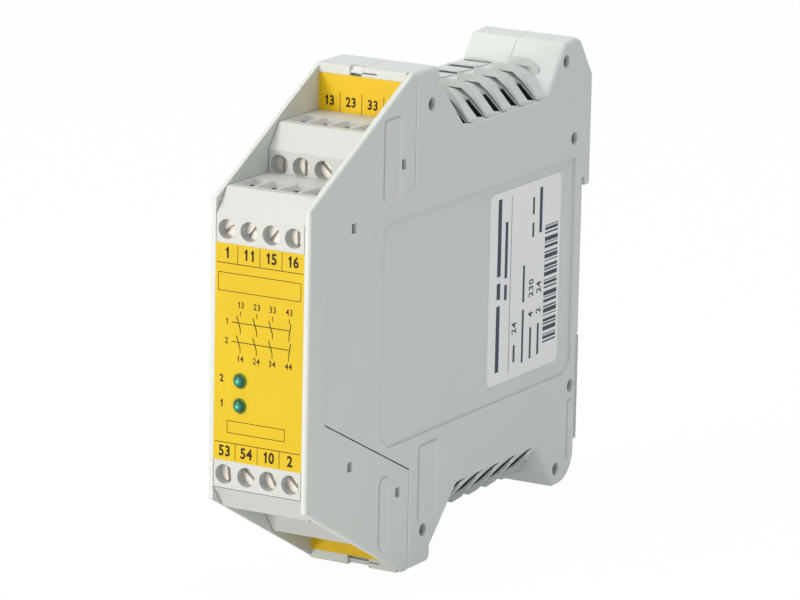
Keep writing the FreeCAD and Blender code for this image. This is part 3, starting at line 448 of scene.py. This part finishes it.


# each painted shade or painted highlight: where it is, how strong, and its colour
shellPaintedLight = ((shadeInHalfJoint, 0.4, shadow), (shadeUnderVents, 0.97, shadow), (shadeInPinHoles, 0.9, shadow),
              (shadeAlongFrameSeam, 0.5, shadow), (highlightBehindSeam, 0.5, shine))
blockPaintedShade = ((shadeInBlockGaps, 0.8, shadow), (shadeInsideBlocks, 0.85, shadow))
shellPlates, framePlates = moulded["shellPlates"], moulded["framePlates"]
finishes = {
    "housing_grey": plastic("housing_grey", tint(203, 210, 207), plates=shellPlates, paintedLight=shellPaintedLight),
    "latch_grey": plastic("latch_grey", tint(179, 184, 182)),
    "frame_light": plastic("frame_light", tint(205, 210, 206), plates=framePlates),
    "block_light": plastic("block_light", tint(193, 195, 193), edge=0.2, paintedLight=blockPaintedShade),
    "contact_metal": steel("contact_metal", tint(205, 178, 120), 0.3),
    "screw_metal": plated("screw_metal", tint(226, 222, 214), 0.42),
    "clamp_metal": steel("clamp_metal", tint(190, 187, 180), 0.32),
    "label_yellow": film("label_yellow", tint(208, 178, 9), tint(203, 172, 8)),
    "strip_yellow": film("strip_yellow", tint(223, 184, 6), tint(217, 177, 5)),
    "lens_green": lens("lens_green"),
    "sticker_white": film("sticker_white", tint(233, 236, 237), tint(228, 231, 233)),
    "board_green": circuitBoard("board_green"),
    "relay_case": plastic("relay_case", tint(34, 34, 36), roughness=0.3),
    "capacitor_sleeve": film("capacitor_sleeve", tint(26, 30, 46), tint(20, 24, 38)),
    "fuse_coat": film("fuse_coat", tint(214, 158, 42), tint(204, 146, 36)),
    "spring_steel": steel("spring_steel", tint(186, 186, 184), 0.24),
}
labelInk = ink("print_ink", tint(44, 26, 12))
stickerInk = ink("sticker_ink", tint(56, 62, 76))
slotOf = {part["node"]: part["material_slot"] for part in frame["record"]["subparts"]}
for name, node in frame["nodes"].items():
    node.data.materials.clear()
    node.data.materials.append(finishes[slotOf[name]])


print("prints")


def addBar(mesh, low, high):
    # an upright bar between two corners in millimetres
    low, high = Vector(low) * mm, Vector(high) * mm
    size = Matrix.Diagonal((*(high - low), 1))
    bmesh.ops.create_cube(mesh, size=1, matrix=Matrix.Translation((low + high) / 2) @ size)


# shares of a figure's height
lettering = {"pitch": 0.7, "capital": 0.69, "squeeze": 0.86, "stem": 0.1, "curve": 3,
             "flagLength": 0.3, "flagWidth": 0.13, "flagTurn": radians(42), "flagPlace": (-0.1, 0.36, 0)}


def figureMesh(figure, height, weight, thickness):
    curve = bpy.data.curves.new("lettering", "FONT")
    curve.body = figure
    curve.size = height / lettering["capital"]
    curve.align_x = "CENTER"
    curve.align_y = "CENTER"
    curve.extrude = thickness / 2
    curve.offset = weight * height
    curve.resolution_u = lettering["curve"]
    typed = bpy.data.objects.new("lettering", curve)
    scene.collection.objects.link(typed)
    scaled = typed.evaluated_get(bpy.context.evaluated_depsgraph_get())
    glyph = bpy.data.meshes.new_from_object(scaled)
    bpy.data.objects.remove(typed)
    bpy.data.curves.remove(curve)
    return glyph


def addLetters(mesh, text, height, place, turn, thickness, weight):
    # one figure at a time at an even pitch, in metres, with a flag added to each figure 1
    for index, figure in enumerate(text):
        flagged = figure == "1"
        across = (index - (len(text) - 1) / 2) * lettering["pitch"] + flagged * lettering["stem"]
        stand = Matrix.Translation(place) @ turn @ Matrix.Translation((across * height, 0, 0))
        glyph = figureMesh(figure, height, weight, thickness)
        glyph.transform(stand @ Matrix.Diagonal((lettering["squeeze"], 1, 1, 1)))
        mesh.from_mesh(glyph)
        bpy.data.meshes.remove(glyph)
        if flagged:
            spot = Matrix.Translation(Vector(lettering["flagPlace"]) * height)
            tilt = Matrix.Rotation(lettering["flagTurn"], 4, "Z")
            width = (lettering["flagWidth"] + weight) * height
            size = Matrix.Diagonal((lettering["flagLength"] * height, width, thickness, 1))
            bmesh.ops.create_cube(mesh, size=1, matrix=stand @ spot @ tilt @ size)


def finishPiece(name, mesh, material, body):
    bmesh.ops.recalc_face_normals(mesh, faces=mesh.faces)
    data = bpy.data.meshes.new(name)
    mesh.to_mesh(data)
    mesh.free()
    piece = bpy.data.objects.new(name, data)
    scene.collection.objects.link(piece)
    data.materials.append(material)
    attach(piece, body)
    return piece


facing = Matrix.Rotation(pi / 2, 4, "X")  # letters drawn in XY are stood up to face the front
printed = {"raise": 0.02, "sink": 0.05, "bold": 0.045, "light": 0.02}


class Sheet:  # prints on one upright yellow face, measured in millimetres
    def __init__(self, node):
        self.low, self.high = boxOf(node)
        self.front = self.low.y - printed["raise"]
        self.back = self.low.y + printed["sink"]
        self.mesh = bmesh.new()

    def bar(self, left, bottom, right, top):
        addBar(self.mesh, (left, self.front, bottom), (right, self.back, top))

    def rule(self, height, left, right, width=0.14):
        self.bar(left, height - width / 2, right, height + width / 2)

    def field(self, left, bottom, right, top, width=0.12):
        for height in (bottom, top):
            self.rule(height, left, right, width)
        for x in (left, right):
            self.bar(x - width / 2, bottom, x + width / 2, top)

    def stroke(self, start, end, width):
        run = Vector(end) - Vector(start)
        middle = (Vector(start) + Vector(end)) / 2 * mm
        depth = (self.back - self.front) * mm
        spot = Matrix.Translation((middle.x, (self.front + self.back) / 2 * mm, middle.y))
        turn = Matrix.Rotation(Vector((1, 0)).angle_signed(run), 4, "Y")
        shape = Matrix.Diagonal((run.length * mm, depth, width * mm, 1))
        bmesh.ops.create_cube(self.mesh, size=1, matrix=spot @ turn @ shape)

    def write(self, text, height, x, z, weight):
        place = Vector((x, (self.front + self.back) / 2, z)) * mm
        thickness = (self.back - self.front) * mm
        addLetters(self.mesh, text, height * mm, place, facing, thickness, weight)


label = {"cellTop": 17.65, "cellBottom": -18.15, "dividers": (-5, 0, 5), "divider": 0.12,
         "sideGap": 0.25, "endGap": 0.2, "columns": (-7.45, -2.5, 2.5, 7.4), "cellText": 2.05,
         "upper": ("1", "11", "15", "16"), "lower": ("53", "54", "10", "2"),
         "band": (-9.3, 12.15, 9.3, 15.75), "typeBand": (-6.9, -16.1, 6.1, -13.7),
         "lampText": 1.4, "lampNumberX": -8.3, "lampNumbers": ("2", "1")}
front = Sheet("front_label")
left, right = front.low.x + label["sideGap"], front.high.x - label["sideGap"]
front.rule(label["cellTop"], left, right)
front.rule(label["cellBottom"], left, right)
for x in label["dividers"]:
    sides = x - label["divider"] / 2, x + label["divider"] / 2
    front.bar(sides[0], label["cellTop"], sides[1], front.high.z - label["endGap"])
    front.bar(sides[0], front.low.z + label["endGap"], sides[1], label["cellBottom"])
topRow = (label["cellTop"] + front.high.z) / 2
bottomRow = (label["cellBottom"] + front.low.z) / 2
for x, above, below in zip(label["columns"], label["upper"], label["lower"]):
    front.write(above, label["cellText"], x, topRow, printed["bold"])
    front.write(below, label["cellText"], x, bottomRow, printed["bold"])
front.field(*label["band"])
front.field(*label["typeBand"])

# the contact diagram: numbers, leads and slanting contacts in columns on two joined rows
# the last column is a contact that opens, and leans the other way
contacts = {"columns": (-4.2, -0.5, 3.06, 6.8), "above": ("13", "23", "33", "43"), "aboveHeight": 9.65,
            "below": ("14", "24", "34", "44"), "belowHeight": -1.1, "text": 1.2, "rows": (6.1, 2.25),
            "rowNumbers": ("1", "2"), "rowNumberX": -7.3, "rowStart": -6.1, "line": 0.16,
            "contact": 0.2, "swings": (-0.85, -0.85, -0.85, 0.4), "tip": 1.3, "hinge": -1.2,
            "tail": -2.2, "lead": (2.3, 1.35)}
columns = zip(contacts["columns"], contacts["above"], contacts["below"], contacts["swings"])
for x, above, below, swing in columns:
    front.write(above, contacts["text"], x, contacts["aboveHeight"], printed["light"])
    front.write(below, contacts["text"], x, contacts["belowHeight"], printed["light"])
    start, end = ((x, contacts["rows"][0] + height) for height in contacts["lead"])
    front.stroke(start, end, contacts["line"])
    for row in contacts["rows"]:
        hinge = (x, row + contacts["hinge"])
        front.stroke((x + swing, row + contacts["tip"]), hinge, contacts["contact"])
        front.stroke(hinge, (x, row + contacts["tail"]), contacts["line"])
for row, number in zip(contacts["rows"], contacts["rowNumbers"]):
    front.rule(row, contacts["rowStart"], contacts["columns"][-1], contacts["line"])
    front.write(number, contacts["text"], contacts["rowNumberX"], row, printed["light"])
for centre, number in zip(ledCentres, label["lampNumbers"]):
    front.write(number, label["lampText"], label["lampNumberX"], centre.z, printed["bold"])
finishPiece("front_label_print", front.mesh, labelInk, "housing")

strips = {"dividers": (-5, 0, 5), "columns": (-7.5, -2.5, 2.5, 7.5), "text": 1.85, "divider": 0.13,
          "upper": {"low": 41.5, "high": 45.6, "text": 43.6, "numbers": contacts["above"]},
          "lower": {"low": -45.7, "high": -41.75, "text": -43.7, "numbers": contacts["below"]}}
for place in ("upper", "lower"):
    strip = strips[place]
    face = Sheet(place + "_label_strip")
    for x in strips["dividers"]:
        face.bar(x - strips["divider"] / 2, strip["low"], x + strips["divider"] / 2, strip["high"])
    for x, number in zip(strips["columns"], strip["numbers"]):
        face.write(number, strips["text"], x, strip["text"], printed["bold"])
    finishPiece(place + "_strip_print", face.mesh, labelInk, "housing")


print("rating sticker")

# lines: depth from the front, height of the letters, and the bars along it
# numbers: depth from the front, place along the line, and the figures
rating = {"divider": 81.0, "dividerWidth": 0.16, "margin": 1.6, "sink": 0.02, "inkDepth": 0.015,
          "number": 1.9, "weight": 0.03, "stripes": (95.6, 101.2), "stripeSpan": (-15.0, 10.4),
          "stripeWidths": (0.34, 0.62, 0.2, 0.9), "stripeGaps": (0.4, 0.26, 0.7),
          "lines": ((76.0, 1.5, ((-17.4, -3.4), (-2.0, 1.4), (2.8, 19.0))),
                    (79.0, 1.1, ((-2.6, 0.6), (2.0, 13.8))),
                    (83.2, 0.8, ((-16.6, -13.0),)),
                    (86.8, 0.8, ((-17.4, -6.2), (-4.6, 3.2))),
                    (90.2, 0.8, ((-17.2, -10.6),)),
                    (93.5, 0.8, ((-17.0, -10.4),)),
                    (90.4, 0.8, ((8.6, 11.6), (13.4, 17.0))),
                    (93.6, 1.2, ((9.0, 18.6),))),
          "numbers": ((83.2, -9.4, "24"), (90.2, -7.8, "4"), (90.2, -2.2, "230"),
                      (93.5, -7.6, "2"), (93.5, -2.6, "24"))}
stickerLow, stickerHigh = boxOf("rating_sticker")
stickerMesh = bmesh.new()
standing = Matrix(((0, 0, 1), (0, -1, 0), (1, 0, 0))).to_4x4()  # letters on the flank, read upwards


def stickerBar(front, bottom, rear, top):
    low = (stickerHigh.x - rating["sink"], front - moulded["seat"], bottom)
    high = (stickerHigh.x + rating["inkDepth"], rear - moulded["seat"], top)
    addBar(stickerMesh, low, high)


half = rating["dividerWidth"] / 2
stickerBar(rating["divider"] - half, stickerLow.z + rating["margin"],
           rating["divider"] + half, stickerHigh.z - rating["margin"])
for depth, tall, bars in rating["lines"]:
    for start, end in bars:
        stickerBar(depth - tall / 2, start, depth + tall / 2, end)
for depth, height, number in rating["numbers"]:
    place = Vector((stickerHigh.x, depth - moulded["seat"], height)) * mm
    thickness = 2 * rating["inkDepth"] * mm
    addLetters(stickerMesh, number, rating["number"] * mm, place, standing, thickness, rating["weight"])
height, count = rating["stripeSpan"][0], 0
while height < rating["stripeSpan"][1]:
    wide = rating["stripeWidths"][count % len(rating["stripeWidths"])]
    stickerBar(rating["stripes"][0], height, rating["stripes"][1], height + wide)
    height += wide + rating["stripeGaps"][count % len(rating["stripeGaps"])]
    count += 1
finishPiece("rating_sticker_print", stickerMesh, stickerInk, "housing")


print("latch spring")

# a welded copy of the spring in place of the spring, and the share of its length left with the latch down
spring = {"node": "latch_spring", "joint": "latch_slide", "name": "latch_spring_coils", "weld": 0.001}
travel = next(joint for joint in frame["joints"] if joint["name"] == spring["joint"])["range_m"][1]
springLow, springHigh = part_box(spring["node"])
coils = bmesh.new()
coils.from_mesh(frame["nodes"][spring["node"]].data)
bmesh.ops.remove_doubles(coils, verts=coils.verts, dist=spring["weld"] * mm)
coilPiece = finishPiece(spring["name"], coils, finishes["spring_steel"], "housing")
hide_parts(spring["node"])
springLeft = 1 - travel / (springHigh[2] - springLow[2])
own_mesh(coilPiece)


print("stage, lamps and camera")

# place and lens in millimetres, angles in degrees
view = {"place": (504.97, -941.48, 241.46), "back": (0.48218, -0.84535, 0.22995), "azimuth": 29.700,
        "roll": 1.1916, "lens": 233.12, "sensor": 36, "clip": (0.01, 20)}
back = Vector(view["back"]).normalized()
azimuth, roll = radians(view["azimuth"]), radians(view["roll"])
level = Vector((cos(azimuth), sin(azimuth), 0))
upright = back.cross(level)
sideways = level * cos(roll) + upright * sin(roll)
upwards = upright * cos(roll) - level * sin(roll)
camera = bpy.data.objects.new("camera", bpy.data.cameras.new("camera"))
scene.collection.objects.link(camera)
camera.data.lens = view["lens"]
camera.data.sensor_width = view["sensor"]
camera.data.clip_start, camera.data.clip_end = view["clip"]
turn = Matrix((sideways, upwards, back)).transposed().to_4x4()
camera.matrix_world = Matrix.Translation(Vector(view["place"]) * mm) @ turn
scene.camera = camera

# places in metres, powers in watts
lamps = {
    "key": {"place": (-0.5, -1.0, 0.8), "size": 0.7, "power": 7.5, "colour": (1, 0.955, 0.9)},
    "fill": {"place": (0.45, -1.2, 0.22), "size": 0.6, "power": 2.5, "colour": (0.95, 0.99, 1)},
    "top": {"place": (0.1, 0.15, 1.2), "size": 0.8, "power": 6.4, "colour": (1, 0.99, 0.97)},
    "low": {"place": (-0.3, -1.0, 0.06), "size": 0.2, "power": 3.0, "colour": (1, 0.93, 0.85)},
}
aim = Vector((0, -0.055, 0))
for name, lamp in lamps.items():
    light = bpy.data.objects.new(name + "_lamp", bpy.data.lights.new(name + "_lamp", "AREA"))
    scene.collection.objects.link(light)
    light.data.size = lamp["size"]
    light.data.energy = lamp["power"]
    light.data.color = lamp["colour"]
    light.location = lamp["place"]
    light.rotation_euler = (aim - light.location).to_track_quat("-Z", "Y").to_euler()

studio = {"sky": 0.41, "white": (1, 1, 1, 1), "floorGlow": 0.97, "floorHalf": 3, "floorCloud": 500,
          "floorDark": (0.9, 0.9, 0.9), "floorLight": (0.92, 0.92, 0.92), "floorRoughness": 0.9}
world = bpy.data.worlds.new("studio")
scene.world = world
world.use_nodes = True
sky = Nodes(world.node_tree)
dim = sky.node("Background", None, {"Color": studio["white"], "Strength": studio["sky"]})
bright = sky.node("Background", None, {"Color": studio["white"], "Strength": 1})
sky.node("OutputWorld", None, {"Surface": sky.node("MixShader", None, {0: sky.seen(), 1: dim, 2: bright})})

floorFinish = Finish("floor_white")
cloud = floorFinish.noise(studio["floorCloud"])
floorFinish.set("Base Color", floorFinish.blend(cloud, studio["floorDark"], studio["floorLight"]))
floorFinish.set("Roughness", studio["floorRoughness"])
floorFinish.set("Specular IOR Level", 0.0)
glow = floorFinish.node("Emission", None, {"Strength": 1})
matt = Socket(floorFinish.tree, floorFinish.shader.outputs[0])
share = floorFinish.seen() * studio["floorGlow"]
mixed = floorFinish.node("MixShader", None, {0: share, 1: matt, 2: glow})
linked(floorFinish.tree, floorFinish.target.inputs["Surface"], mixed)

ground = bmesh.new()
foot = Matrix.Translation((0, 0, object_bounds()[0].z))
bmesh.ops.create_grid(ground, x_segments=1, y_segments=1, size=studio["floorHalf"], matrix=foot)
floorMesh = bpy.data.meshes.new("floor")
ground.to_mesh(floorMesh)
ground.free()
floor = bpy.data.objects.new("floor", floorMesh)
scene.collection.objects.link(floor)
floorMesh.materials.append(floorFinish.material)

scene.view_settings.view_transform = "Standard"
